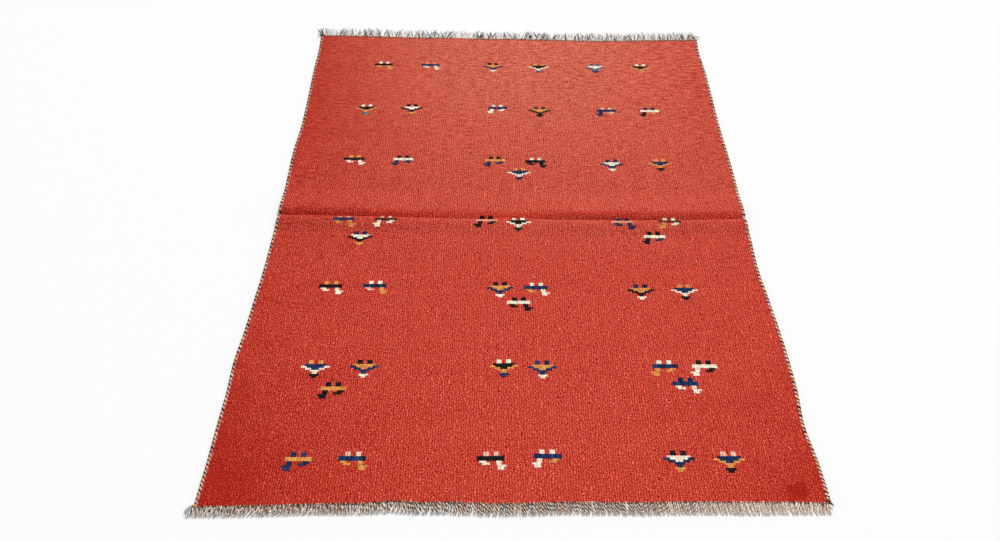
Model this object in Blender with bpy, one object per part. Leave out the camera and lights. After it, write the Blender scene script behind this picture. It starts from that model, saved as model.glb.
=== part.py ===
"""A flat-woven kilim rug lying on the floor, with overcast sides and a warp fringe at each end.

Metres, +Z up, the floor at z = 0. X runs across the rug and Y along it, from its near end to its far end. The
origin is on the floor, under the middle of the whole rug with its fringes.

The cloth was stored folded in four, so it keeps a fold across its middle, where two low banks rise on either
side of a crease that touches the floor, and two fainter folds along it.
"""

import random

import bmesh
import bpy
import numpy as np

# The cloth is drawn about its own middle, and the whole rug is centred at the end.
CLOTH_THICK = 0.003
GAP = 0.0003  # between neighbouring pieces
HALF_WIDE = 0.742  # of the rug with its side bindings, for spacing the columns alone

# The rug's long sides, bindings included: how far left and right they lie, at places along the rug.
SIDES = np.array(
    [
        (-1.000, -0.7488, 0.7507),
        (-0.884, -0.7458, 0.7479),
        (-0.794, -0.7453, 0.7399),
        (-0.680, -0.7438, 0.7472),
        (-0.595, -0.7463, 0.7490),
        (-0.485, -0.7393, 0.7472),
        (-0.368, -0.7353, 0.7422),
        (-0.243, -0.7308, 0.7365),
        (-0.108, -0.7303, 0.7405),
        (0.000, -0.7283, 0.7412),
        (0.150, -0.7323, 0.7447),
        (0.320, -0.7358, 0.7455),
        (0.410, -0.7318, 0.7442),
        (0.595, -0.7338, 0.7475),
        (0.800, -0.7403, 0.7502),
        (0.910, -0.7408, 0.7477),
        (1.010, -0.7458, 0.7547),
    ],
    dtype=[("along", float), ("left", float), ("right", float)],
)

# The woven ends, where the fringes start: how far near and far they lie, at places across the rug.
ENDS = np.array(
    [
        (-0.750, -1.0086, 1.0225),
        (-0.582, -1.0058, 1.0187),
        (-0.465, -1.0016, 1.0115),
        (-0.350, -0.9998, 1.0063),
        (-0.272, -0.9938, 1.0057),
        (-0.215, -0.9978, 1.0045),
        (-0.159, -0.9958, 1.0007),
        (-0.053, -1.0006, 0.9980),
        (0.044, -0.9991, 0.9983),
        (0.124, -0.9963, 0.9945),
        (0.301, -0.9978, 0.9855),
        (0.419, -0.9955, 0.9850),
        (0.655, -0.9960, 0.9930),
        (0.750, -0.9983, 0.9915),
    ],
    dtype=[("across", float), ("near", float), ("far", float)],
)

# The fold across the middle: where its crease runs and how high its two banks stand.
CROSS_FOLD = np.array(
    [
        (-0.750, -0.0160, 0.0090, 0.0130),
        (-0.520, -0.0210, 0.0090, 0.0132),
        (-0.330, -0.0270, 0.0080, 0.0100),
        (-0.123, -0.0335, 0.0050, 0.0078),
        (0.030, -0.0330, 0.0045, 0.0075),
        (0.160, -0.0360, 0.0055, 0.0120),
        (0.400, -0.0380, 0.0075, 0.0132),
        (0.600, -0.0360, 0.0070, 0.0115),
        (0.750, -0.0320, 0.0065, 0.0095),
    ],
    dtype=[("across", float), ("crease", float), ("near_bank", float), ("far_bank", float)],
)
NEAR_BANK_RISE, NEAR_BANK_RUN = 0.019, 0.075  # from the crease to the bank's top, and to its foot
FAR_BANK_RISE, FAR_BANK_RUN = 0.030, 0.135

# The two folds along the rug, each a crease between two very low banks: where the crease runs, how far along
# the rug it starts, and how high its banks stand.
LONG_FOLDS = np.array(
    [
        (0.018, -1.0, 0.0012, 0.0016),
        (-0.188, 0.15, 0.0022, 0.0012),
    ],
    dtype=[
        ("crease", float),
        ("starts", float),
        ("left_bank", float),
        ("right_bank", float),
    ],
)
LONG_BANK_RISE, LONG_BANK_RUN = 0.014, 0.045
LONG_FOLD_FADE = 0.12  # over this length a fold that stops within the rug dies away

# Where the cloth's rows and columns of faces lie: close together at the folds, and evenly elsewhere.
ROWS_AT_CROSS_FOLD = (0.009, 0.019, 0.030, 0.046, 0.070, 0.100, 0.140)  # from the crease, either way
ROWS_PER_HALF = 9  # past the last of those
COLUMNS_AT_LONG_FOLD = (-0.045, -0.014, 0.0, 0.014, 0.045)  # from the crease

# Side bindings: an oval cord with a flat underside, as (out from its middle, up), going round once.
BINDING_WIDE = 0.0092
BINDING_HIGH = 0.0052
BINDING_OUTLINE = [
    (0.62, 0.00),
    (1.00, 0.24),
    (1.00, 0.62),
    (0.55, 1.00),
    (-0.55, 1.00),
    (-1.00, 0.62),
    (-1.00, 0.24),
    (-0.62, 0.00),
]  # in half widths and whole heights

# Fringes: a strip along each woven end that the strands grow out of.
STRANDS = 150  # in each fringe
STRIP_DEEP = 0.006
STRIP_HIGH = 0.003
ROOT_SHARE = 0.46  # of a strand's pitch, how wide its root is
TIP_NARROW = 0.62  # a tip's width and height, as shares of its root's
TIP_LOW = 0.70
KNEE_AT = 0.5  # along a strand, where it bends
KNEE_SHARE = 0.35  # of its sideways reach, how much it has there

# How long the strands are, and how far they lean to the right for each metre of length.
FRINGES = np.array(
    [
        (-0.750, 0.0270, -0.24, 0.058, -0.22),
        (-0.680, 0.0275, -0.42, 0.060, -0.10),
        (-0.450, 0.0275, -0.40, 0.060, 0.02),
        (-0.200, 0.0310, -0.15, 0.060, 0.06),
        (0.000, 0.0310, -0.04, 0.056, -0.04),
        (0.300, 0.0315, 0.04, 0.062, 0.10),
        (0.550, 0.0345, 0.18, 0.058, 0.06),
        (0.750, 0.0300, 0.12, 0.060, 0.30),
    ],
    dtype=[
        ("across", float),
        ("near_long", float),
        ("near_lean", float),
        ("far_long", float),
        ("far_lean", float),
    ],
)
UNEVEN_LENGTH = {"near": 0.0025, "far": 0.007}  # a strand is this much longer or shorter
UNEVEN_LEAN = 0.05

COLOURS = {
    "cloth": (0.52, 0.058, 0.030),
    "binding": (0.30, 0.16, 0.12),
    "fringe": (0.50, 0.43, 0.36),
}
WOOL_ROUGHNESS = 0.9


def smooth(at, knots, values):
    """A smooth curve through the values at the knots, level past its ends."""
    slope = np.gradient(values, knots)
    at = np.clip(at, knots[0], knots[-1])
    k = np.clip(np.searchsorted(knots, at) - 1, 0, len(knots) - 2)
    span = knots[k + 1] - knots[k]
    t = (at - knots[k]) / span
    start = (2 * t**3 - 3 * t**2 + 1) * values[k] + (t**3 - 2 * t**2 + t) * span * slope[k]
    end = (3 * t**2 - 2 * t**3) * values[k + 1] + (t**3 - t**2) * span * slope[k + 1]
    return start + end


def bank(distance, rise, run):
    """The height, as a share of its top, of a bank that leaves the crease steeply and ends softly."""
    climb = np.sin(np.pi / 2 * np.clip(distance / rise, 0, 1))
    fall = 0.5 + 0.5 * np.cos(np.pi * np.clip((distance - rise) / (run - rise), 0, 1))
    return np.where(distance < rise, climb, fall)


def lift(x, y):
    """How high the cloth's underside stands above the floor."""
    past = y - smooth(x, CROSS_FOLD["across"], CROSS_FOLD["crease"])
    near = bank(-past, NEAR_BANK_RISE, NEAR_BANK_RUN) * np.interp(
        x, CROSS_FOLD["across"], CROSS_FOLD["near_bank"]
    )
    far = bank(past, FAR_BANK_RISE, FAR_BANK_RUN) * np.interp(
        x, CROSS_FOLD["across"], CROSS_FOLD["far_bank"]
    )
    height = np.where(past < 0, near, far)
    for fold in LONG_FOLDS:
        aside = x - fold["crease"]
        strength = np.clip((y - fold["starts"]) / LONG_FOLD_FADE + 1, 0, 1)
        side = np.where(aside < 0, fold["left_bank"], fold["right_bank"])
        height = height + strength * side * bank(abs(aside), LONG_BANK_RISE, LONG_BANK_RUN)
    return height


def column_places():
    """Where the cloth's columns cross the rug: at the knots of its ends and beside its long folds."""
    half = HALF_WIDE - BINDING_WIDE
    ends = [x for x in ENDS["across"] if abs(x) < half - 0.02]
    folds = [fold["crease"] + step for fold in LONG_FOLDS for step in COLUMNS_AT_LONG_FOLD]
    apart = [x for x in ends if min(abs(x - y) for y in folds) > 0.02]
    return np.array(sorted([-half, *apart, *folds, half]))


def cloth_grid():
    """The cloth's underside as rows of points, from near to far and from left to right."""
    across = column_places()
    near = np.interp(across, ENDS["across"], ENDS["near"])
    far = np.interp(across, ENDS["across"], ENDS["far"])
    crease = smooth(across, CROSS_FOLD["across"], CROSS_FOLD["crease"])
    rows = []
    for end, way in ((near, -1), (far, 1)):
        last = crease + way * ROWS_AT_CROSS_FOLD[-1]
        half = [crease + way * step for step in ROWS_AT_CROSS_FOLD]
        half += [last + (end - last) * k / ROWS_PER_HALF for k in range(1, ROWS_PER_HALF + 1)]
        rows = [*reversed(half), crease] if way < 0 else rows + half
    y = np.array(rows)
    inset = BINDING_WIDE + GAP
    left = smooth(y, SIDES["along"], SIDES["left"]) + inset
    right = smooth(y, SIDES["along"], SIDES["right"]) - inset
    share = (across - across[0]) / (across[-1] - across[0])
    x = left + (right - left) * share
    return np.stack([x, y, lift(x, y)], axis=-1)


def add_object(name, bm, material):
    """The bmesh as a named object with its material, its faces pointing outwards."""
    bmesh.ops.recalc_face_normals(bm, faces=bm.faces)
    mesh = bpy.data.meshes.new(name)
    bm.to_mesh(mesh)
    bm.free()
    mesh.materials.append(material)
    thing = bpy.data.objects.new(name, mesh)
    bpy.context.collection.objects.link(thing)
    return thing


def wool(name):
    material = bpy.data.materials.new(name)
    material.use_nodes = True
    shader = material.node_tree.nodes["Principled BSDF"]
    shader.inputs["Base Color"].default_value = (*COLOURS[name], 1)
    shader.inputs["Roughness"].default_value = WOOL_ROUGHNESS
    shader.inputs["Metallic"].default_value = 0
    return material


def make_cloth(grid):
    """The sheet: the grid's underside, the same grid a cloth's thickness higher, and a rim between them."""
    rows, columns = grid.shape[:2]
    bm = bmesh.new()
    up = np.array([0, 0, CLOTH_THICK])
    under, over = (
        [[bm.verts.new(point) for point in row] for row in grid + shift] for shift in (0 * up, up)
    )
    for r in range(rows - 1):
        for c in range(columns - 1):
            for layer in (under, over):
                bm.faces.new((layer[r][c], layer[r][c + 1], layer[r + 1][c + 1], layer[r + 1][c]))
    rim = [(0, c) for c in range(columns)] + [(r, columns - 1) for r in range(1, rows)]
    rim += [(rows - 1, c) for c in range(columns - 2, -1, -1)] + [(r, 0) for r in range(rows - 2, 0, -1)]
    for (r, c), (s, d) in zip(rim, rim[1:] + rim[:1]):
        bm.faces.new((under[r][c], under[s][d], over[s][d], over[r][c]))
    return add_object("cloth", bm, wool("cloth"))


def make_binding(name, edge, way, material):
    """The oval cord along one side. It follows the cloth's edge, up the banks of the fold too."""
    bm = bmesh.new()
    half = BINDING_WIDE / 2
    rings = []
    for x, y, z in edge:
        middle = x + way * (GAP + half)
        rings.append([bm.verts.new((middle + half * u, y, z + BINDING_HIGH * v)) for u, v in BINDING_OUTLINE])
    for ring, after in zip(rings, rings[1:]):
        for k in range(len(ring)):
            m = (k + 1) % len(ring)
            bm.faces.new((ring[k], ring[m], after[m], after[k]))
    bm.faces.new(rings[0])
    bm.faces.new(rings[-1])
    cord = add_object(name, bm, material)
    cord.data.shade_smooth()
    return cord


def make_fringe(name, edge, way, left, right, draws, material):
    """The strip along one end and its strands, which lie level on the floor."""
    end = name.rsplit("_", 1)[1]
    pitch = (right - left) / STRANDS
    roots = left + pitch * (np.arange(STRANDS) + 0.5)
    half = pitch * ROOT_SHARE / 2
    stations = np.concatenate([[left], np.stack([roots - half, roots + half], axis=1).ravel(), [right]])
    line = np.interp(stations, edge[:, 0], edge[:, 1]) + way * GAP

    bm = bmesh.new()
    rings = []
    for x, y in zip(stations, line):
        outer = y + way * STRIP_DEEP
        corners = ((y, 0), (y, STRIP_HIGH), (outer, STRIP_HIGH), (outer, 0))
        rings.append([bm.verts.new((x, v, z)) for v, z in corners])
    outer_faces = []
    for ring, after in zip(rings, rings[1:]):
        for k in range(4):
            m = (k + 1) % 4
            face = bm.faces.new((ring[k], ring[m], after[m], after[k]))
            if k == 2:
                outer_faces.append(face)
    bm.faces.new(rings[0])
    bm.faces.new(rings[-1])
    bmesh.ops.recalc_face_normals(bm, faces=bm.faces)

    growing = outer_faces[1::2]
    long = np.interp(roots, FRINGES["across"], FRINGES[f"{end}_long"]) - STRIP_DEEP
    lean = np.interp(roots, FRINGES["across"], FRINGES[f"{end}_lean"])
    long = long + [draws.uniform(-1, 1) * UNEVEN_LENGTH[end] for _ in roots]
    lean = lean + [draws.uniform(-1, 1) * UNEVEN_LEAN for _ in roots]
    steps = ((KNEE_AT, KNEE_SHARE), (1 - KNEE_AT, 1 - KNEE_SHARE))
    for share, aside in steps:
        grown = bmesh.ops.extrude_discrete_faces(bm, faces=growing)["faces"]
        for face, reach, slant in zip(grown, long, lean):
            middle = face.calc_center_median().x
            for vert in face.verts:
                vert.co.x = middle + (vert.co.x - middle) * TIP_NARROW**0.5 + aside * slant * reach
                vert.co.y += way * share * reach
                vert.co.z *= TIP_LOW**0.5
        growing = grown
    return add_object(name, bm, material)


def centre(things):
    """Moves the whole rug so that its bounding box stands on the origin, in the middle."""
    corners = np.array([tuple(v.co) for thing in things for v in thing.data.vertices])
    low, high = corners.min(axis=0), corners.max(axis=0)
    middle = (low + high) / 2
    for thing in things:
        for vert in thing.data.vertices:
            vert.co.x -= middle[0]
            vert.co.y -= middle[1]


def main():
    for thing in list(bpy.data.objects):
        bpy.data.objects.remove(thing)
    draws = random.Random(7)
    grid = cloth_grid()
    out = GAP + BINDING_WIDE
    cord, warp = wool("binding"), wool("fringe")
    things = [
        make_cloth(grid),
        make_binding("binding_left", grid[:, 0], -1, cord),
        make_binding("binding_right", grid[:, -1], 1, cord),
    ]
    for name, edge, way in (("fringe_near", grid[0], -1), ("fringe_far", grid[-1], 1)):
        left, right = edge[0, 0] - out, edge[-1, 0] + out
        things.append(make_fringe(name, edge, way, left, right, draws, warp))
    centre(things)


main()
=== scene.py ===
"""A flat-woven kilim rug on a pale floor.

It is red wool cloth with small inlaid moths and beasts, overcast sides and a fringe of warp ends along each
short side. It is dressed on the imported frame, in metres, with the floor at z = 0.
"""

import math

import bpy
import numpy as np
from mathutils import Matrix, Vector, noise


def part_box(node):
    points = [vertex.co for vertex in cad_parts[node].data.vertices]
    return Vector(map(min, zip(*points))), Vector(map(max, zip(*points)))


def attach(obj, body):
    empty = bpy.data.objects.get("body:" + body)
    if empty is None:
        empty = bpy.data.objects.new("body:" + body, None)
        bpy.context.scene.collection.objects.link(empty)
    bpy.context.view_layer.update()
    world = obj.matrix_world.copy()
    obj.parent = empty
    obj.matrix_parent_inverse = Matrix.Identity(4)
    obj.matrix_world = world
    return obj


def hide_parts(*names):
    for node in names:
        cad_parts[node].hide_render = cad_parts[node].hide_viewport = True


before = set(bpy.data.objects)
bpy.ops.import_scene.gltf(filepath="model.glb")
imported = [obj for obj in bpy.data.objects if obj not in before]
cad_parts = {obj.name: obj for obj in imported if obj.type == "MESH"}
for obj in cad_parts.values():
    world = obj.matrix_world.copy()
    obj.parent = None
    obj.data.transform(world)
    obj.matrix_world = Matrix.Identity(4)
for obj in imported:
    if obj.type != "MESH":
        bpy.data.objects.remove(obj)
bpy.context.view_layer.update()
cloth_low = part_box("cloth")[0]
bpy.ops.object.select_all(action="DESELECT")

# ============================================================================ The cloth
# One piece of weft-faced wool weave, beaten so tight that the red weft hides the warp. It was stored folded
# in four, so a crease between two low banks crosses its middle and two faint ones run along it. Its edges
# wander as they do on hand-woven pieces.
CLOTH_THICK = 0.003
EDGE_INSET = 0.0095  # the side bindings and the gap beside them
COLUMNS, ROWS = 184, 264
ROWS_CROWD = 0.45  # how much the mesh's rows crowd towards the crease

# How far left and right the long sides lie, bindings included, at places along the rug.
SIDES = np.array(
    [
        (-1.000, -0.7488, 0.7507),
        (-0.884, -0.7458, 0.7479),
        (-0.794, -0.7453, 0.7399),
        (-0.680, -0.7438, 0.7472),
        (-0.595, -0.7463, 0.7490),
        (-0.485, -0.7393, 0.7472),
        (-0.368, -0.7353, 0.7422),
        (-0.243, -0.7308, 0.7365),
        (-0.108, -0.7303, 0.7405),
        (0.000, -0.7283, 0.7412),
        (0.150, -0.7323, 0.7447),
        (0.320, -0.7358, 0.7455),
        (0.410, -0.7318, 0.7442),
        (0.595, -0.7338, 0.7475),
        (0.800, -0.7403, 0.7502),
        (0.910, -0.7408, 0.7477),
        (1.010, -0.7458, 0.7547),
    ],
    dtype=[("along", float), ("left", float), ("right", float)],
)

# How far near and far the woven ends lie, at places across the rug.
ENDS = np.array(
    [
        (-0.750, -1.0086, 1.0225),
        (-0.582, -1.0058, 1.0187),
        (-0.465, -1.0016, 1.0115),
        (-0.350, -0.9998, 1.0063),
        (-0.272, -0.9938, 1.0057),
        (-0.215, -0.9978, 1.0045),
        (-0.159, -0.9958, 1.0007),
        (-0.053, -1.0006, 0.9980),
        (0.044, -0.9991, 0.9983),
        (0.124, -0.9963, 0.9945),
        (0.301, -0.9978, 0.9855),
        (0.419, -0.9955, 0.9850),
        (0.655, -0.9960, 0.9930),
        (0.750, -0.9983, 0.9915),
    ],
    dtype=[("across", float), ("near", float), ("far", float)],
)

# The fold across the middle: where its crease runs and how high its two banks stand.
CROSS_FOLD = np.array(
    [
        (-0.750, -0.0160, 0.0090, 0.0130),
        (-0.520, -0.0210, 0.0090, 0.0132),
        (-0.330, -0.0270, 0.0080, 0.0100),
        (-0.123, -0.0335, 0.0050, 0.0078),
        (0.030, -0.0330, 0.0045, 0.0075),
        (0.160, -0.0360, 0.0055, 0.0120),
        (0.400, -0.0380, 0.0075, 0.0132),
        (0.600, -0.0360, 0.0070, 0.0115),
        (0.750, -0.0320, 0.0065, 0.0095),
    ],
    dtype=[("across", float), ("crease", float), ("near_bank", float), ("far_bank", float)],
)
NEAR_BANK_RISE, NEAR_BANK_RUN = 0.019, 0.075
FAR_BANK_RISE, FAR_BANK_RUN = 0.026, 0.135

# The folds along the rug: crease, where it starts, and the heights of its left and right banks.
LONG_FOLDS = [(0.018, -1.0, 0.0012, 0.0016), (-0.188, 0.15, 0.0022, 0.0012)]
LONG_BANK_RISE, LONG_BANK_RUN, LONG_FOLD_FADE = 0.014, 0.045, 0.12
COCKLE_HIGH, COCKLE_WIDE = 0.0007, 0.07  # the cloth's own slight unevenness


def smooth(at, knots, values):
    """A smooth curve through the values at the knots, level past its ends."""
    slope = np.gradient(values, knots)
    at = np.clip(at, knots[0], knots[-1])
    k = np.clip(np.searchsorted(knots, at) - 1, 0, len(knots) - 2)
    span = knots[k + 1] - knots[k]
    t = (at - knots[k]) / span
    start = (2 * t**3 - 3 * t**2 + 1) * values[k] + (t**3 - 2 * t**2 + t) * span * slope[k]
    end = (3 * t**2 - 2 * t**3) * values[k + 1] + (t**3 - t**2) * span * slope[k + 1]
    return start + end


def bank(distance, rise, run):
    """The share of its height that a bank has, this far from its crease."""
    climb = np.sin(np.pi / 2 * np.clip(distance / rise, 0, 1))
    fall = 0.5 + 0.5 * np.cos(np.pi * np.clip((distance - rise) / (run - rise), 0, 1))
    return np.where(distance < rise, climb, fall)


def lift(x, y):
    """How high the cloth's underside stands, at places in the rug's own frame."""
    past = y - smooth(x, CROSS_FOLD["across"], CROSS_FOLD["crease"])
    near_high = smooth(x, CROSS_FOLD["across"], CROSS_FOLD["near_bank"])
    far_high = smooth(x, CROSS_FOLD["across"], CROSS_FOLD["far_bank"])
    near_share = bank(-past, NEAR_BANK_RISE, NEAR_BANK_RUN)
    far_share = bank(past, FAR_BANK_RISE, FAR_BANK_RUN)
    height = np.where(past < 0, near_share * near_high, far_share * far_high)
    for crease, starts, left_bank, right_bank in LONG_FOLDS:
        strength = np.clip((y - starts) / LONG_FOLD_FADE + 1, 0, 1)
        side = np.where(x < crease, left_bank, right_bank)
        height = height + strength * side * bank(abs(x - crease), LONG_BANK_RISE, LONG_BANK_RUN)
    rough = [noise.noise(Vector((a, b, 0)) / COCKLE_WIDE) for a, b in zip(np.ravel(x), np.ravel(y))]
    return height + COCKLE_HIGH * (0.5 + np.array(rough).reshape(np.shape(x)))


def points_of(thing):
    """An object's points as an array."""
    flat = np.empty(len(thing.data.vertices) * 3)
    thing.data.vertices.foreach_get("co", flat)
    return flat.reshape(-1, 3)


def set_points(thing, points):
    """Gives an object's mesh new points."""
    thing.data.vertices.foreach_set("co", np.ravel(points))
    thing.data.update()


bpy.ops.mesh.primitive_grid_add(x_subdivisions=COLUMNS, y_subdivisions=ROWS, size=2)
cloth = bpy.context.object
cloth.name = "rug_cloth"
across, along = points_of(cloth)[:, 0], points_of(cloth)[:, 1]
straight = across * SIDES["right"].mean()
crease = smooth(straight, CROSS_FOLD["across"], CROSS_FOLD["crease"])
ends = np.where(
    along < 0,
    np.interp(straight, ENDS["across"], ENDS["near"]),
    np.interp(straight, ENDS["across"], ENDS["far"]),
)
cloth_y = crease + (ends - crease) * ((1 - ROWS_CROWD) * abs(along) + ROWS_CROWD * along**2)
left = smooth(cloth_y, SIDES["along"], SIDES["left"]) + EDGE_INSET
right = smooth(cloth_y, SIDES["along"], SIDES["right"]) - EDGE_INSET
cloth_x = left + (right - left) * (across + 1) / 2

# The frame is centred with its fringes, so this is where the rug's own middle lies in it.
MIDDLE = np.array([cloth_low.x - cloth_x.min(), cloth_low.y - cloth_y.min(), 0])
set_points(cloth, np.stack([cloth_x, cloth_y, lift(cloth_x, cloth_y)], axis=1) + MIDDLE)
bpy.ops.object.modifier_add(type="SOLIDIFY")
cloth.modifiers["Solidify"].thickness = CLOTH_THICK
cloth.modifiers["Solidify"].offset = 1
bpy.ops.object.modifier_apply(modifier="Solidify")
bpy.ops.object.shade_smooth_by_angle(angle=math.radians(50))


class Socket:
    """A socket in a material. Sums with it add Math nodes, and node() adds any other."""

    def __init__(self, tree, socket):
        self.tree, self.socket = tree, socket

    def node(self, kind, settings, values, output=0):
        made = self.tree.nodes.new(kind)
        for name, value in settings.items():
            setattr(made, name, value)
        for name, value in values.items():
            if isinstance(value, Socket):
                self.tree.links.new(value.socket, made.inputs[name])
            else:
                made.inputs[name].default_value = value
        return Socket(self.tree, made.outputs[output])

    def math(self, operation, *values):
        return self.node("ShaderNodeMath", {"operation": operation}, dict(enumerate(values)))

    def __add__(self, other):
        return self.math("ADD", self, other)

    def __sub__(self, other):
        return self.math("SUBTRACT", self, other)

    def __rsub__(self, other):
        return self.math("SUBTRACT", other, self)

    def __mul__(self, other):
        return self.math("MULTIPLY", self, other)

    __radd__ = __add__
    __rmul__ = __mul__

    def wave(self, length):
        """A wave from -1 to 1 that repeats after this length."""
        return self.math("SINE", self * (2 * math.pi / length))

    def axis(self, number):
        """One of this place's three coordinates."""
        return self.node("ShaderNodeSeparateXYZ", {}, {0: self}, output=number)

    def step(self, low, high):
        """0 below low, 1 above high, and smooth between them."""
        settings = {"interpolation_type": "SMOOTHSTEP"}
        return self.node("ShaderNodeMapRange", settings, {"Value": self, "From Min": low, "From Max": high})

    def blend(self, first, second, kind="MIX"):
        """The first colour where this is 0 and the second where it is 1."""
        settings = {"data_type": "RGBA", "blend_type": kind, "clamp_factor": True}
        return self.node("ShaderNodeMix", settings, {0: self, 6: first, 7: second}, output=2)

    def noise(self, size, detail=2.0, roughness=0.5):
        """Noise from -0.5 to 0.5 on this place, with features of this (x, y, z) size."""
        scaled = self.node("ShaderNodeVectorMath", {"operation": "DIVIDE"}, {0: self, 1: size})
        values = {"Vector": scaled, "Scale": 1.0, "Detail": detail, "Roughness": roughness}
        return self.node("ShaderNodeTexNoise", {}, values) - 0.5


def new_wool(name, roughness, sheen):
    """A wool material's shader, and the place on the piece as a socket."""
    material = bpy.data.materials.new(name)
    material.use_nodes = True
    tree = material.node_tree
    shader = tree.nodes["Principled BSDF"]
    shader.inputs["Roughness"].default_value = roughness
    shader.inputs["Specular IOR Level"].default_value = 0.06
    shader.inputs["Sheen Weight"].default_value = sheen
    shader.inputs["Sheen Roughness"].default_value = 0.5
    place = Socket(tree, tree.nodes.new("ShaderNodeTexCoord").outputs["Object"])
    return material, shader, place


def finish_wool(shader, colour, height, distance):
    """Links a wool's colour, and its relief as bump."""
    tree = colour.tree
    tree.links.new(colour.socket, shader.inputs["Base Color"])
    values = {"Height": height, "Distance": distance, "Strength": 1.0}
    bump = height.node("ShaderNodeBump", {}, values)
    tree.links.new(bump.socket, shader.inputs["Normal"])


DEEP_RED = (0.23, 0.0003, 0.0001, 1)
RED = (0.46, 0.030, 0.013, 1)
PALE_RED = (0.84, 0.158, 0.102, 1)
# The pale pink that the far half is painted towards: partly faded wool, partly painted sheen.
FADED_AND_SHEEN = (0.88, 0.29, 0.175, 1)
FRESH_AND_FOLD_SHADE = (1.06, 0.70, 0.66, 1)  # what turns the red deeper: painted shade in the fold, and in the near half partly less fading, partly painted shade
NEAR_DEEPENING = 0.35  # how much deeper the near half is painted, partly for less fading and partly as painted shade
CREASE_AT, CREASE_SLANTS, CREASE_BENDS = 0.034, 0.0107, 0.016  # about where the cross fold's crease runs
RIB = 0.0032  # from one warp to the next
RELIEF = 0.0006

# The sizes of the weave's marks: how the ribs wander, where the marks show more strongly, the dashes and
# flecks of single picks, whole rows and lines of weft, and the bands and clouds of an uneven dye.
BROAD_WANDER, FINE_WANDER, STRENGTH = (0.03, 0.06, 1), (0.008, 0.0065, 1), (0.10, 0.07, 1)
BROAD_SWAY, FINE_SWAY = 0.009, 0.008  # how far the ribs wander
DASH, FLECK = (0.0021, 0.0026, 1), (0.0065, 0.0036, 1)
PICK, LINE = (0.040, 0.0065, 1), (0.032, 0.0100, 1)
BAND, CLOUD = (1.2, 0.045, 1), (0.16, 0.10, 1)

# How much each of them adds to the tone, which is 0 for the deepest red and 1 for the palest.
PLAIN_TONE = 0.53
DASH_TONE, RIB_SHADE_TONE, FAR_RIB_SHADE_TONE, FLECK_TONE = 0.96, 0.66, 0.46, 0.30
PICK_TONE, FAR_PICK_TONE, LINE_TONE = 1.7, 2.9, 1.6
BAND_TONE, CLOUD_TONE = 0.14, 0.14
# The right side is painted brighter and the sides and near corners darker: partly the dye's unevenness,
# partly painted light and shade, brighter from the far right.
RIGHT_TONE, SIDES_TONE, NEAR_CORNERS_TONE = 0.10, -0.12, -0.28

# A dark spot near the right corner of the near end, and how much of the weave's marks it hides.
STAIN_AT = (0.671, -0.992, 0.003)
STAIN_RIM, STAIN_CORE, STAIN_RAGGED = 0.036, 0.010, 0.06
STAIN_TONE, STAIN_HIDES = -0.22, 0.6

red_wool, shader, place = new_wool("red_weave", roughness=0.9, sheen=0.02)
x, y = place.axis(0), place.axis(1)
wander = place.noise(BROAD_WANDER, detail=1.0) * BROAD_SWAY
wander = wander + place.noise(FINE_WANDER, detail=0.0) * FINE_SWAY
woven_x = x + wander
woven = place.node("ShaderNodeCombineXYZ", {}, {"X": woven_x, "Y": y, "Z": 0.0})
pairs = woven_x.wave(2 * RIB)
ribs = woven_x.wave(RIB)
rib_hollow_shade = pairs.step(-1.0, 0.0) - 0.7  # thin dark lines between two ribs, painted shade in the hollow there
dashes = woven.noise(DASH, detail=0.0).step(-0.15, 0.15) - 0.5
flecks = place.noise(FLECK, detail=0.0).step(-0.2, 0.2) - 0.5
picks = place.noise(PICK, detail=3.0, roughness=0.85)
lines = place.noise(LINE, detail=1.5, roughness=0.7) * y.step(-0.4, 0.9)
bands = place.noise(BAND, detail=3.0)
clouds = place.noise(CLOUD, detail=3.0)

between = {0: place, 1: STAIN_AT}
from_stain = place.node("ShaderNodeVectorMath", {"operation": "DISTANCE"}, between, output=1)
stain = (from_stain + place.noise((0.02, 0.02, 1)) * STAIN_RAGGED).step(STAIN_RIM, STAIN_CORE)
far = y.step(0.15, 0.75)
calm = x.step(0.0, -0.55) * y.step(-0.1, 0.4) * 0.5  # the smoother part at the far left
strength = 1.28 + 0.8 * place.noise(STRENGTH, detail=2.0) - x * x * 0.6 - y * y * 0.3
strength = strength * (1.0 - stain * STAIN_HIDES - calm * 0.6)
# The lines between ribs are painted shade, weaker at the far end.
hollow_shade_tone = RIB_SHADE_TONE - far * (RIB_SHADE_TONE - FAR_RIB_SHADE_TONE)
tone = PLAIN_TONE + strength * (dashes * DASH_TONE + rib_hollow_shade * hollow_shade_tone + flecks * FLECK_TONE)
pick_tone = PICK_TONE + y * (FAR_PICK_TONE - PICK_TONE)
tone = tone + (picks * pick_tone + lines * LINE_TONE) * (1.0 - calm)
# Bands, clouds and the stain are the dye's own; the brighter right and the darker sides and near corners are
# partly painted light and shade.
tone = tone + bands * BAND_TONE + clouds * CLOUD_TONE + x * RIGHT_TONE + stain * STAIN_TONE
tone = tone + x * x * (SIDES_TONE + y.step(-0.5, -0.95) * NEAR_CORNERS_TONE)
colour = tone.step(-0.1, 0.5).blend(DEEP_RED, RED)
colour = tone.step(0.5, 1.1).blend(colour, PALE_RED)

# The far half is painted paler and pinker, most of all in its middle: partly fading, and partly painted sheen
# where the wool is seen at a low angle.
fade_and_sheen = 0.045 + y * 0.16 + x * 0.03 - x * x * 0.10 + y.step(0.1, 0.7) * (0.09 - x * x * 0.28)
colour = (fade_and_sheen * (0.4 + tone * 1.2)).blend(colour, FADED_AND_SHEEN)

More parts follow.
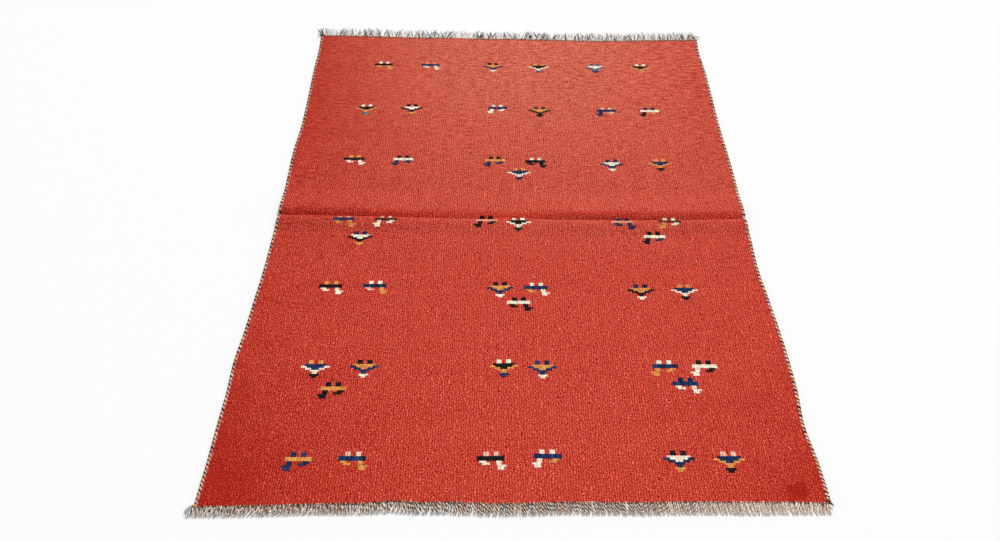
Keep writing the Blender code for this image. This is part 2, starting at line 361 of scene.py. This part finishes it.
# The red is painted deeper in the fold, from its crease up the far bank, as painted shade, and in the near
# half, partly for less fading and partly as painted shade.
past_crease = y + (CREASE_AT - float(MIDDLE[1])) + x * CREASE_SLANTS - x * x * CREASE_BENDS
fold_shade = past_crease.step(0.036, 0.014) * past_crease.step(-0.003, 0.004)
deepening = fold_shade.math("MAXIMUM", fold_shade, y.step(0.05, -0.35) * NEAR_DEEPENING)
colour = deepening.blend(colour, FRESH_AND_FOLD_SHADE, "MULTIPLY")
finish_wool(shader, colour, ribs * 0.5 + pairs * 0.3 + dashes * 0.7, RELIEF)
cloth.data.materials.append(red_wool)
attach(cloth, "root")
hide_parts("cloth")

# ============================================================================ The inlaid figures
# Forty-eight small figures in seven rows, wrapped over the warps in other yarns. There are two kinds: a
# moth, which is two squares over a V in a wider V with a tip below, and a beast, which is two squares on a
# bar over a short leg and a long one with a foot. Each stands a little proud of the red weave.
YARNS = {
    "black": (0.005, 0.004, 0.005),
    "navy": (0.009, 0.016, 0.055),
    "grey": (0.060, 0.085, 0.130),
    "olive": (0.018, 0.018, 0.012),
    "cream": (0.950, 0.860, 0.680),
    "pink": (0.900, 0.560, 0.430),
    "ochre": (0.780, 0.330, 0.075),
    "salmon": (0.800, 0.360, 0.220),
}

# Rows from the top down: how high each is, and its runs, as (yarn, first rib, last rib).
MOTH_WIDE = 24
MOTH = [
    (0.0130, [("squares", 6, 10), ("squares", 14, 18)]),
    (0.0060, [("inner", 3, 21)]),
    (0.0058, [("outer", 0, 5), ("inner", 5, 19), ("outer", 19, 24)]),
    (0.0065, [("outer", 4, 9), ("inner", 9, 15), ("outer", 15, 20)]),
    (0.0060, [("outer", 8, 16)]),
    (0.0078, [("outer", 10, 14)]),
    (0.0060, [("tip", 8, 16)]),
    (0.0062, [("tip", 10, 14)]),
]
BEAST_WIDE = 23
BEAST = [
    (0.0125, [("squares", 5, 9), ("squares", 13, 17)]),
    (0.0120, [("inner", 0, 21)]),
    (0.0060, [("outer", 2, 7), ("tip", 15, 19)]),
    (0.0060, [("outer", 4, 10), ("tip", 15, 19)]),
    (0.0045, [("tip", 16, 23)]),
    (0.0085, [("tip", 16, 21)]),
]

# Each figure: its kind, where its middle lies, in millimetres, and its yarns from the top down. A beast's
# are its squares, its bar and its left and right legs, and the letter says on which side its long leg is.
FIGURES = [
    ("beast_r", -474, 815, "cream black ochre ochre"),
    ("beast_r", -294, 812, "ochre navy cream cream"),
    ("moth", -58, 803, "black ochre navy cream"),
    ("moth", 117, 798, "ochre black cream grey"),
    ("moth", 333, 797, "grey cream grey navy"),
    ("moth", 506, 796, "cream black ochre ochre"),
    ("moth", -513, 536, "cream black ochre grey"),
    ("moth", -349, 537, "black cream black ochre"),
    ("beast_l", -42, 538, "cream navy cream cream"),
    ("moth", 112, 522, "olive ochre black black"),
    ("beast_l", 350, 523, "pink navy navy pink"),
    ("beast_l", 505, 522, "navy cream black ochre"),
    ("beast_r", -520, 252, "ochre black cream cream"),
    ("beast_l", -360, 251, "black cream navy navy"),
    ("beast_l", -50, 245, "black ochre navy navy"),
    ("beast_r", 91, 240, "cream black black black"),
    ("moth", 33, 181, "ochre navy cream navy"),
    ("moth", 345, 226, "navy cream navy cream"),
    ("moth", 507, 229, "ochre navy ochre black"),
    ("beast_r", -516, -49, "cream navy ochre ochre"),
    ("beast_l", -390, -48, "pink black cream cream"),
    ("moth", -460, -120, "navy cream black ochre"),
    ("beast_l", -75, -49, "black salmon black black"),
    ("moth", 27, -60, "cream black cream olive"),
    ("beast_r", 355, -59, "navy salmon navy navy"),
    ("beast_l", 497, -56, "cream black ochre cream"),
    ("beast_l", 442, -118, "black cream black navy"),
    ("beast_r", -520, -323, "ochre black cream cream"),
    ("beast_r", -391, -321, "cream navy pink ochre"),
    ("moth", -30, -330, "black ochre navy cream"),
    ("beast_r", 77, -328, "cream navy ochre cream"),
    ("beast_r", 26, -385, "black cream black black"),
    ("moth", 378, -338, "navy ochre black cream"),
    ("moth", 504, -338, "ochre navy cream black"),
    ("moth", -524, -612, "ochre navy cream black"),
    ("moth", -393, -611, "black ochre navy cream"),
    ("beast_l", -469, -681, "black ochre black black"),
    ("moth", -20, -609, "cream black ochre navy"),
    ("moth", 83, -613, "navy ochre navy cream"),
    ("beast_l", 408, -608, "cream navy ochre ochre"),
    ("beast_l", 514, -608, "black cream cream black"),
    ("beast_r", 461, -664, "navy navy cream cream"),
    ("beast_l", -526, -889, "navy ochre navy navy"),
    ("beast_r", -389, -887, "pink navy ochre ochre"),
    ("beast_r", -50, -886, "pink black cream cream"),
    ("beast_l", 84, -880, "cream navy cream ochre"),
    ("moth", 408, -887, "black cream navy ochre"),
    ("moth", 531, -889, "pink navy ochre black"),
]
MM = 0.001
FIGURE_PROUD, FIGURE_SUNK = 0.0005, 0.0008
RIB_FILLS = 0.95  # how much of its place each turn of yarn fills
DARK_YARNS = ["black", "navy", "grey", "olive"]
DARK_SWELLS, DARK_PROUD = 0.0007, 0.0002  # the dark yarns are thicker and spread over their neighbours
DARK_LINT = np.array([1.5, 2.8, 2.2])  # how much paler some turns of a dark yarn are
ROW_UNEVEN = 0.0003
YARN_UNEVEN = (0.72, 1.15)  # the least and most that one turn has of its yarn's colour

bpy.ops.mesh.primitive_cube_add(size=1)
rib = bpy.context.object
rib.name = "figure_rib"
bpy.ops.object.mode_set(mode="EDIT")
bpy.ops.mesh.select_all(action="DESELECT")
bpy.ops.object.mode_set(mode="OBJECT")
for edge in rib.data.edges:
    edge.select = all(rib.data.vertices[v].co.z > 0 for v in edge.vertices)
bpy.ops.object.mode_set(mode="EDIT")
bpy.ops.mesh.bevel(offset=0.22, segments=2)
bpy.ops.object.mode_set(mode="OBJECT")


def laid_copies(name, *batches):
    """One mesh of many copies. Each batch is a master, the points of every copy and its yarn's colour, as one
    for each copy or for each of its points."""
    points, faces, colours, start = [], [], [], 0
    for master, placed, shades in batches:
        count = len(master.data.vertices)
        sides = [tuple(face.vertices) for face in master.data.polygons]
        faces += [[start + v + k * count for v in side] for k in range(len(placed)) for side in sides]
        points.append((placed + MIDDLE).reshape(-1, 3))
        shades = shades if shades.ndim == 3 else shades[:, None]
        colours.append(np.broadcast_to(shades, placed.shape).reshape(-1, 3))
        start += len(placed) * count
        bpy.data.objects.remove(master)
    mesh = bpy.data.meshes.new(name)
    mesh.from_pydata(np.concatenate(points).tolist(), [], faces)
    colours = np.concatenate(colours)
    yarn = mesh.attributes.new("yarn", "FLOAT_COLOR", "POINT")
    yarn.data.foreach_set("color", np.concatenate([colours, np.ones((len(colours), 1))], axis=1).ravel())
    made = bpy.data.objects.new(name, mesh)
    bpy.context.collection.objects.link(made)
    bpy.ops.object.select_all(action="DESELECT")
    bpy.context.view_layer.objects.active = made
    made.select_set(True)
    return made


draws = np.random.default_rng(11)
cells, shades = [], []
for kind, middle_x, middle_y, yarns in FIGURES:
    chart, wide = (MOTH, MOTH_WIDE) if kind == "moth" else (BEAST, BEAST_WIDE)
    names = dict(zip(("squares", "inner", "outer", "tip"), yarns.split()))
    if kind == "beast_l":
        names["outer"], names["tip"] = names["tip"], names["outer"]
    high = sum(row[0] for row in chart)
    down = 0.0
    for row_high, runs in chart:
        for part, first, last in runs:
            dark = names[part] in DARK_YARNS
            swell = dark * DARK_SWELLS
            each = RIB + 2 * swell / (last - first)
            for k in range(last - first):
                aside = ((first + last) / 2 - wide / 2) * RIB + (k + 0.5 - (last - first) / 2) * each
                aside = -aside if kind == "beast_l" else aside
                middle = (middle_x * MM + aside, middle_y * MM + high / 2 - down - row_high / 2)
                cell_high = row_high + 2 * swell + draws.normal(0, ROW_UNEVEN)
                cells.append((*middle, each, cell_high, dark * DARK_PROUD))
                lint = 1 + dark * DARK_LINT * draws.random() ** 2
                shades.append(np.array(YARNS[names[part]]) * draws.uniform(*YARN_UNEVEN) * lint)
        down += row_high
cells = np.array(cells)
box = points_of(rib)
placed = np.empty((len(cells), len(box), 3))
placed[:, :, 0] = cells[:, 0, None] + box[:, 0] * cells[:, 2, None] * RIB_FILLS
placed[:, :, 1] = cells[:, 1, None] + box[:, 1] * cells[:, 3, None]
placed[:, :, 2] = (box[:, 2] + 0.5) * (FIGURE_PROUD + FIGURE_SUNK) - FIGURE_SUNK + CLOTH_THICK
placed[:, :, 2] += lift(placed[:, :, 0], placed[:, :, 1]) + cells[:, 4, None]
figures = laid_copies("inlaid_figures", (rib, placed, np.array(shades)))

FUZZ_SHADE = (0.38, 0.28, 0.25, 1)  # what turns a yarn darker in its hollows, painted shade
LINT_AND_HIGHLIGHT = (0.006, 0.008, 0.014, 1)  # what lint and a painted highlight on the fuzz add to it
yarn_wool, shader, place = new_wool("figure_yarn", roughness=0.9, sheen=0.0)
yarn = place.node("ShaderNodeAttribute", {"attribute_name": "yarn"}, {}, output=0)
fuzz = place.noise((0.0017, 0.0022, 0.002), detail=2.0)
fuzz_shading = fuzz + place.noise((0.0048, 0.0042, 0.0042), detail=0.5) * 1.3
# Painted shade darkens the fuzz's hollows, and lint with a painted highlight lightens its tops.
colour = (fuzz_shading.step(0.04, -0.24) * 0.7).blend(yarn, FUZZ_SHADE, "MULTIPLY")
colour = fuzz_shading.step(0.0, 0.28).blend(colour, LINT_AND_HIGHLIGHT, "ADD")
finish_wool(shader, colour, fuzz, 0.0005)
figures.data.materials.append(yarn_wool)
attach(figures, "root")

# ============================================================================ The overcast sides
# A dark cord runs along each long side, whipped over and over with dark wool and, every few turns, with a
# turn of cream or salmon. The turns slant from the outer edge down towards the cloth, and the light ones lie
# on top.
TURN = 0.00285  # from one turn of yarn to the next
BINDING_WIDE, BINDING_HIGH = 0.0098, 0.0052
BINDING_ROUND = 0.75  # 1 for a round cord, less for one with squarer corners
YARN_THICK = 0.0011
LOOP_TUBE = 0.3  # half the thickness of the loop that each turn is made from
REPEAT_NEAR, REPEAT_FAR = 0.0110, 0.0235  # from one light group to the next, at each end
REPEAT_UNEVEN = (0.55, 1.35)  # the least and most of a repeat, and below of a turn's width, reach and colour
LIGHT_SHARE = 0.46
LIGHT_REACH, LIGHT_INSET, LIGHT_PROUD = 0.86, 0.0008, 0.0006
TURN_UNEVEN, REACH_UNEVEN, SHADE_UNEVEN = (0.85, 1.15), (0.95, 1.04), (0.8, 1.15)
FAR_SQUARER = 0.7  # how much less the turns slant at the far end
INNER_FADE = 1.6  # how quickly the red gives way, from the cloth outwards
DARK_INNER, LIGHT_INNER = 0.9, 0.2  # how much of the red a dark and a light turn take

# Each cord: its side, how far its turns slant, and how red they are at their middle, from the cloth's yarn.
BINDINGS = {"binding_left": (-1, -1.05, 0.42), "binding_right": (1, -0.45, 0.50)}
DARK_TURNS = [(0.008, 0.005, 0.005), (0.020, 0.008, 0.008), (0.012, 0.010, 0.006), (0.060, 0.010, 0.008)]
LIGHT_TURNS = {
    "binding_left": [
        (0.88, 0.46, 0.33),
        (0.92, 0.68, 0.50),
        (0.78, 0.28, 0.19),
        (0.70, 0.38, 0.13),
        (0.90, 0.54, 0.42),
    ],
    "binding_right": [
        (0.92, 0.70, 0.45),
        (0.97, 0.84, 0.70),
        (0.85, 0.46, 0.13),
        (0.90, 0.52, 0.40),
        (0.92, 0.62, 0.50),
    ],
}
INNER_REDS = [(0.20, 0.012, 0.008), (0.42, 0.04, 0.03), (0.75, 0.24, 0.15), (0.60, 0.10, 0.07)]


def drawn(palette, count):
    """As many yarn colours as this, drawn from a palette."""
    return np.array(palette)[draws.integers(0, len(palette), count)]


for name, (way, slant, inner_share) in BINDINGS.items():
    low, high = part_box(name)
    count = int((high.y - low.y) / TURN)
    share = np.arange(count) / count
    turn_y = low.y - MIDDLE[1] + (high.y - low.y) * (share + 0.5 / count)
    repeat = REPEAT_NEAR + (REPEAT_FAR - REPEAT_NEAR) * share * draws.uniform(*REPEAT_UNEVEN, count)
    light = np.cumsum(TURN / repeat) % 1 < LIGHT_SHARE
    bpy.ops.mesh.primitive_torus_add(
        major_segments=12, minor_segments=4, major_radius=1.0, minor_radius=LOOP_TUBE
    )
    loop = bpy.context.object
    ring = points_of(loop)
    around = np.arctan2(ring[:, 1], ring[:, 0])
    out = (np.hypot(ring[:, 0], ring[:, 1]) - 1.0) / (2 * LOOP_TUBE)
    cos, sin = np.cos(around), np.sin(around)
    top = np.clip(sin, 0, 1)
    swell = np.where(light[:, None], 0.5 + 0.9 * top, 1.5 - 0.5 * top)  # light turns bulge on top
    swell = swell * draws.uniform(*TURN_UNEVEN, (count, 1))
    reach = np.where(light, LIGHT_REACH, 1.0)[:, None] * draws.uniform(*REACH_UNEVEN, (count, 1))
    square_x = np.sign(cos) * abs(cos) ** BINDING_ROUND
    square_z = np.sign(sin) * abs(sin) ** BINDING_ROUND
    side_x = square_x * (BINDING_WIDE - YARN_THICK) / 2 + cos * out * YARN_THICK
    side_z = square_z * (BINDING_HIGH - YARN_THICK) / 2 + sin * out * YARN_THICK
    edge = SIDES["left"] if way < 0 else SIDES["right"]
    middle = smooth(turn_y, SIDES["along"], edge) - way * BINDING_WIDE / 2
    foot = lift(middle - way * BINDING_WIDE, turn_y)
    slanted = slant * (1 - FAR_SQUARER * share[:, None]) * side_x
    placed = np.empty((count, len(ring), 3))
    placed[:, :, 0] = (middle - way * LIGHT_INSET * light)[:, None] + side_x * reach
    placed[:, :, 1] = turn_y[:, None] + ring[:, 2] / (2 * LOOP_TUBE) * TURN * swell + slanted
    placed[:, :, 2] = foot[:, None] + side_z + BINDING_HIGH / 2 + light[:, None] * top * LIGHT_PROUD
    shades = drawn(DARK_TURNS, count)
    shades[light] = drawn(LIGHT_TURNS[name], light.sum())
    shades = (shades * draws.uniform(*SHADE_UNEVEN, (count, 1)))[:, None]
    inner = np.clip(inner_share - way * side_x / BINDING_WIDE * INNER_FADE, 0, 1)[:, None]
    reds = drawn(INNER_REDS, count)[:, None]
    shades = shades + (reds - shades) * inner * np.where(light, LIGHT_INNER, DARK_INNER)[:, None, None]
    whipping = laid_copies(f"whipped_{name}", (loop, placed, shades))
    bpy.ops.object.shade_smooth()
    whipping.data.materials.append(yarn_wool)
    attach(whipping, "root")
    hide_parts(name)

# ============================================================================ The fringes
# The warp ends past the last row of weave, held by a twined row of wool and left loose. Some are twisted in
# twos into cords and the rest are single, of undyed cream, grey and brown yarn.

# At places across the rug, for the near and the far end: how long the ends are, how far they lean to the
# right for each metre of length, how coarse they are, the length of one turn of a cord, less than 0 for a
# left turn, and how far the dark yarns have faded.
FRINGES = np.array(
    [
        (-0.750, (0.0265, -0.40, 1.00, -0.012, 0.03), (0.060, -0.22, 1.0, 0.013, 0.0)),
        (-0.680, (0.0270, -0.58, 1.02, -0.014, 0.05), (0.063, -0.10, 1.0, 0.013, 0.0)),
        (-0.450, (0.0270, -0.54, 1.02, -0.014, 0.05), (0.063, 0.02, 1.0, 0.013, 0.0)),
        (-0.200, (0.0300, -0.22, 1.06, -0.010, 0.02), (0.063, 0.06, 1.0, 0.013, 0.0)),
        (0.000, (0.0300, -0.04, 1.20, -0.010, 0.03), (0.059, -0.04, 1.0, 0.013, 0.0)),
        (0.300, (0.0300, 0.04, 1.15, -0.010, 0.12), (0.064, 0.10, 1.0, 0.013, 0.0)),
        (0.301, (0.0300, 0.04, 1.15, 0.010, 0.12), (0.064, 0.10, 1.0, 0.013, 0.0)),
        (0.550, (0.0310, 0.12, 1.10, 0.010, 0.66), (0.062, 0.06, 1.0, 0.013, 0.0)),
        (0.750, (0.0280, -0.12, 1.10, 0.010, 0.66), (0.062, 0.15, 1.0, 0.013, 0.0)),
    ],
    dtype=[("across", float), ("near", float, 5), ("far", float, 5)],
)
STRAND_SIDES = 4
CREAM_WARP = {
    "near": [(1.0, 0.86, 0.73), (0.97, 0.78, 0.64), (1.0, 0.94, 0.86), (0.84, 0.62, 0.50)],
    "far": [(1.0, 0.94, 0.88), (0.92, 0.84, 0.77), (1.0, 1.0, 0.98), (0.72, 0.62, 0.56)],
}
# The dark yarns are brown and grey wool, and at the near end they also stand in for the shade in the gaps
# between the strands, as painted shade.
DARK_WARP = {
    "near": [(0.085, 0.050, 0.032), (0.13, 0.075, 0.048), (0.040, 0.026, 0.018), (0.22, 0.14, 0.09)],
    "far": [(0.030, 0.024, 0.022), (0.06, 0.048, 0.042), (0.012, 0.010, 0.010), (0.12, 0.10, 0.09)],
}
TWINING = {
    "near": [
        (0.030, 0.025, 0.006),
        (0.16, 0.025, 0.012),
        (0.50, 0.20, 0.12),
        (0.16, 0.02, 0.012),
        (0.05, 0.03, 0.015),
    ],
    "far": [(0.34, 0.08, 0.05), (0.70, 0.40, 0.30), (0.10, 0.03, 0.02), (0.40, 0.10, 0.07)],
}
TIP_STARTS = {"near": 0.67, "far": 0.55}  # how far along a strand its worn tip starts
TIP_PALES = {"near": 0.35, "far": 0.55}  # how much paler the tip is
ROOT_CREAM = (0.96, 0.70, 0.50)
ROOT_PALES = {"near": 0.22, "far": 0.75}  # how much of that cream the strands have at their roots: the far warp's own cream, and at the near end painted light that lifts the shade among the roots
TUFT_WIDE, TUFT_LEANS = 0.014, 0.5  # strands lean together in tufts
CLUMP_WIDE = 0.017  # dark strands stand together in clumps of about this width
CLUMPS = {"near": 0.0, "far": 1.1}  # and this strongly
STRAND_UNEVEN = (0.85, 1.15)
OWN_LIMIT = 1.7  # the most that a strand departs from the rest, in standard deviations
TAPER = 0.4  # how much thinner a strand is at its tip
ROOT_SUNK = 0.0015  # how far a strand's root lies under the cloth's edge
PLY_APART, PLY_FRAYS = 0.46, 0.7  # how far a ply lies from its cord's middle, and how that grows to the tip
ARCH = 0.0010  # how high a strand arches over the floor
READINGS = 400  # how many places across the rug the changing values are read at

# What makes up a fringe: how far apart its strands are, the share of dark ones, their thickness, the least
# and most of the fringe's length, how far they lean apart and sway, and the steps in their length.
CORDS = {
    "near": (0.0046, 0.92, 0.0023, 0.96, 1.03, 0.06, 0.0010, 21),
    "far": (0.0050, 0.46, 0.0018, 0.80, 1.14, 0.24, 0.0026, 21),
}
LOOSE = {
    "near": (0.0085, 0.25, 0.0014, 0.92, 1.06, 0.12, 0.0015, 7),
    "far": (0.0060, 0.40, 0.0016, 0.50, 1.10, 0.40, 0.0036, 7),
}
TWINED = (0.0058, 0.0, 0.0032, 1.0, 1.0, 0.0, 0.0, 3)
TWINED_LIFT, TWINED_LONG, TWINED_LEAN = 0.0022, 0.0045, 0.9


def new_strand(steps):
    """A straight strand along z, one high and one thick, with this many steps in its length."""
    bpy.ops.mesh.primitive_cylinder_add(vertices=STRAND_SIDES, radius=0.5, depth=1, end_fill_type="NGON")
    strand = bpy.context.object
    bpy.ops.object.mode_set(mode="EDIT")
    for k in range(1, steps):
        bpy.ops.mesh.select_all(action="SELECT")
        bpy.ops.mesh.bisect(plane_co=(0, 0, k / steps - 0.5), plane_no=(0, 0, 1))
    bpy.ops.object.mode_set(mode="OBJECT")
    return strand


def laid_strands(sort, made_of, way, end):
    """A batch of strands along one end of the rug."""
    pitch, dark_share, thick, shortest, longest, spread, swing, steps = made_of
    strand = new_strand(steps)
    tube = points_of(strand)
    share = tube[:, 2] + 0.5

    # Where each strand starts, and which are dark. A cord has two plies at each place.
    corner = 0 if way < 0 else -1
    places = np.linspace(SIDES["left"][corner], SIDES["right"][corner], READINGS)
    readings = np.stack([np.interp(places, FRINGES["across"], column) for column in FRINGES[end].T])
    passed = np.cumsum((places[1] - places[0]) / pitch / readings[2])
    number = int(passed[-1])
    root_x = np.interp(np.arange(number) + 0.5, passed, places) + draws.normal(0, pitch / 6, number)
    own = np.clip(draws.normal(0, 1, (5, number)), -OWN_LIMIT, OWN_LIMIT)
    clump = np.array([noise.noise(Vector((at, 0, way)) / CLUMP_WIDE) for at in root_x])
    dark = draws.random(number) + clump * CLUMPS[end] < dark_share
    plies = 2 if sort == "cord" else 1
    root_x, own, dark = np.repeat(root_x, plies), np.repeat(own, plies, axis=1), np.repeat(dark, plies)
    number = len(root_x)
    second = np.arange(number) % plies == 1
    root_y = np.interp(root_x, ENDS["across"], ENDS[end])

    # The strand's own length, lean, thickness and twist.
    long, lean, coarse, turn, faded = np.stack([np.interp(root_x, places, row) for row in readings])
    tuft = np.array([noise.noise(Vector((at, way, 0)) / TUFT_WIDE) for at in root_x])
    lean = lean + (own[0] * (1 - 0.3 * TUFT_LEANS) + 3 * TUFT_LEANS * tuft) * spread
    long = long * (shortest + (longest - shortest) * (0.5 + own[1] / (2 * OWN_LIMIT)))
    if sort == "twined":
        long, lean = np.full(number, TWINED_LONG), np.full(number, TWINED_LEAN)
        coarse = np.ones(number)
    long, lean = long[:, None], lean[:, None]
    wide = thick * (coarse * (1 + 0.12 * own[2]))[:, None]
    thinned = wide * (1 - TAPER * share**3)
    phase = own[4][:, None] * 3
    sway = swing * own[3][:, None] * np.sin(phase + 6 * share) * np.minimum(share * 2, 1)
    turned = math.tau * long * share / turn[:, None] + phase + math.pi * second[:, None]
    aside = PLY_APART * wide * (1 + PLY_FRAYS * share**4) * (sort == "cord")
    arch = ARCH * (np.sin(np.pi * np.clip(share * 1.15, 0, 1)) ** 2 + (1 - share) ** 2)
    raised = aside * (1 + np.sin(turned)) * (1 - 0.5 * share) + arch + abs(own[3][:, None]) * 0.0006
    placed = np.empty((number, len(tube), 3))
    placed[:, :, 0] = root_x[:, None] + lean * long * share**1.25 + sway
    placed[:, :, 0] += tube[:, 0] * thinned + aside * np.cos(turned)
    placed[:, :, 1] = root_y[:, None] + way * (long * share - ROOT_SUNK)
    placed[:, :, 2] = wide * 0.55 + tube[:, 1] * thinned + raised + TWINED_LIFT * (sort == "twined")

    # Its colour, creamier at the root and paler at the tip.
    shades = drawn(TWINING[end] if sort == "twined" else CREAM_WARP[end], number)
    is_dark = dark & (second if sort == "cord" and end == "near" else True)
    shades[is_dark] = drawn(DARK_WARP[end], is_dark.sum())
    shades[is_dark] += faded[is_dark, None] * CREAM_WARP[end][0]
    shades = (shades * draws.uniform(*STRAND_UNEVEN, (number, 1)))[:, None]
    warp = sort != "twined"
    # Paler roots: at the far end the warp's cream, at the near end painted light against the shade there.
    creamy = ROOT_PALES[end] * np.clip(1.3 - share * 4.5, 0, 1)[:, None] * warp
    shades = shades + (ROOT_CREAM - shades) * creamy
    paler = TIP_PALES[end] * np.clip((share - TIP_STARTS[end]) * 3, 0, 1)[:, None] * warp
    return strand, placed, shades + (1 - shades) * paler


# The loose ends of the side cords at the corners: where each starts, its heading in degrees from the right,
# how long it is, how far it curls in degrees and its colour.
PINK_TAIL, WINE_TAIL, TAN_TAIL = (0.62, 0.10, 0.10), (0.20, 0.04, 0.06), (0.45, 0.30, 0.22)
PALE_TAIL, GREY_TAIL, DARK_TAIL = (0.95, 0.90, 0.86), (0.30, 0.28, 0.28), (0.03, 0.02, 0.02)
TAILS = {
    "near": [
        (0.738, -0.990, -70, 0.022, 60, DARK_TAIL),
        (0.742, -0.984, -30, 0.020, -140, DARK_TAIL),
        (0.732, -0.996, 200, 0.016, 120, WINE_TAIL),
        (0.744, -0.998, -100, 0.020, 40, PALE_TAIL),
        (-0.744, -1.002, 210, 0.030, 20, TAN_TAIL),
        (-0.746, -1.006, 225, 0.028, 10, DARK_TAIL),
    ],
    "far": [
        (-0.744, 1.020, 96, 0.060, 12, GREY_TAIL),
        (-0.740, 1.020, 102, 0.062, -14, DARK_TAIL),
        (-0.746, 1.020, 100, 0.050, 24, DARK_TAIL),
        (-0.736, 1.020, 96, 0.052, 20, GREY_TAIL),
        (-0.730, 1.024, 178, 0.030, 6, DARK_TAIL),
        (0.718, 0.998, 100, 0.036, -60, PINK_TAIL),
        (0.724, 0.994, 78, 0.034, -100, PINK_TAIL),
        (0.728, 0.992, 50, 0.034, 130, PALE_TAIL),
        (0.734, 1.000, 95, 0.046, -150, PALE_TAIL),
        (0.732, 1.004, 60, 0.040, -110, GREY_TAIL),
        (0.740, 0.990, 10, 0.026, 130, GREY_TAIL),
        (0.742, 1.000, 84, 0.040, 90, DARK_TAIL),
    ],
}
TAIL_THICK, TAIL_STEPS, ARC_STEPS = 0.0026, 12, 61
TAIL_LIES, TAIL_ARCHES = 1.2, 1.5  # how high a tail's ends and its middle lie, in its own thicknesses


def laid_tails(tails):
    """A batch of curled strands, each on its own arc."""
    strand = new_strand(TAIL_STEPS)
    tube = points_of(strand)
    share = tube[:, 2] + 0.5
    steps = np.linspace(0, 1, ARC_STEPS)
    placed = np.empty((len(tails), len(tube), 3))
    shades = []
    for k, (start_x, start_y, heading, long, curl, shade) in enumerate(tails):
        bearing = np.radians(heading + curl * steps)
        path_x = start_x + np.cumsum(np.cos(bearing)) * long / len(steps)
        path_y = start_y + np.cumsum(np.sin(bearing)) * long / len(steps)
        turned = np.interp(share, steps, bearing)
        placed[k, :, 0] = np.interp(share, steps, path_x) - np.sin(turned) * tube[:, 0] * TAIL_THICK
        placed[k, :, 1] = np.interp(share, steps, path_y) + np.cos(turned) * tube[:, 0] * TAIL_THICK
        placed[k, :, 2] = (TAIL_LIES + TAIL_ARCHES * np.sin(np.pi * share) + tube[:, 1]) * TAIL_THICK
        shades.append(shade)
    return strand, placed, np.array(shades)


for name, way, end in (("fringe_near", -1, "near"), ("fringe_far", 1, "far")):
    fringe = laid_copies(
        f"warp_{name}",
        laid_strands("cord", CORDS[end], way, end),
        laid_strands("loose", LOOSE[end], way, end),
        laid_strands("twined", TWINED, way, end),
        laid_tails(TAILS[end]),
    )
    bpy.ops.object.shade_smooth()
    fringe.data.materials.append(yarn_wool)
    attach(fringe, "root")
    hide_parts(name)

# ============================================================================ The studio
# A pale floor in even light, brighter from the far right, and the camera at eye height before the near end.
FLOOR_SIZE, FLOOR_GREY = 30, 0.797
FLOOR_BELOW = 0.0005  # clear of the cloth's underside
LENS, SENSOR = 29.81, 36.0
EYE = (-0.033, -1.916, 1.805)
LOOKS_DOWN = math.radians(47.345)
TURNED, ROLLED = math.radians(-0.09), math.radians(0.15)

bpy.ops.mesh.primitive_plane_add(size=FLOOR_SIZE, location=(0, 0, -FLOOR_BELOW))
floor = bpy.context.object
floor.name = "floor"
paper = bpy.data.materials.new("floor_paper")
paper.use_nodes = True
paper_shader = paper.node_tree.nodes["Principled BSDF"]
paper_shader.inputs["Base Color"].default_value = (FLOOR_GREY, FLOOR_GREY, FLOOR_GREY, 1)
paper_shader.inputs["Roughness"].default_value = 0.9
floor.data.materials.append(paper)

world = bpy.data.worlds.new("studio")
world.use_nodes = True
background = world.node_tree.nodes["Background"]
background.inputs["Color"].default_value = (1, 1, 1, 1)
background.inputs["Strength"].default_value = 0.60
bpy.context.scene.world = world

bpy.ops.object.light_add(type="SUN", rotation=(math.radians(-48), 0, math.radians(-25)))
key = bpy.context.object
key.data.energy = 2.9
key.data.angle = math.radians(14)

bpy.ops.object.camera_add()
camera = bpy.context.object
camera.data.lens = LENS
camera.data.sensor_width = SENSOR
turn = Matrix.Rotation(TURNED, 4, "Z") @ Matrix.Rotation(math.pi / 2 - LOOKS_DOWN, 4, "X")
roll = Matrix.Rotation(ROLLED, 4, "Z")
camera.matrix_world = Matrix.Translation(Vector(EYE) + Vector(MIDDLE)) @ turn @ roll
bpy.context.scene.camera = camera
bpy.context.scene.view_settings.view_transform = "Standard"
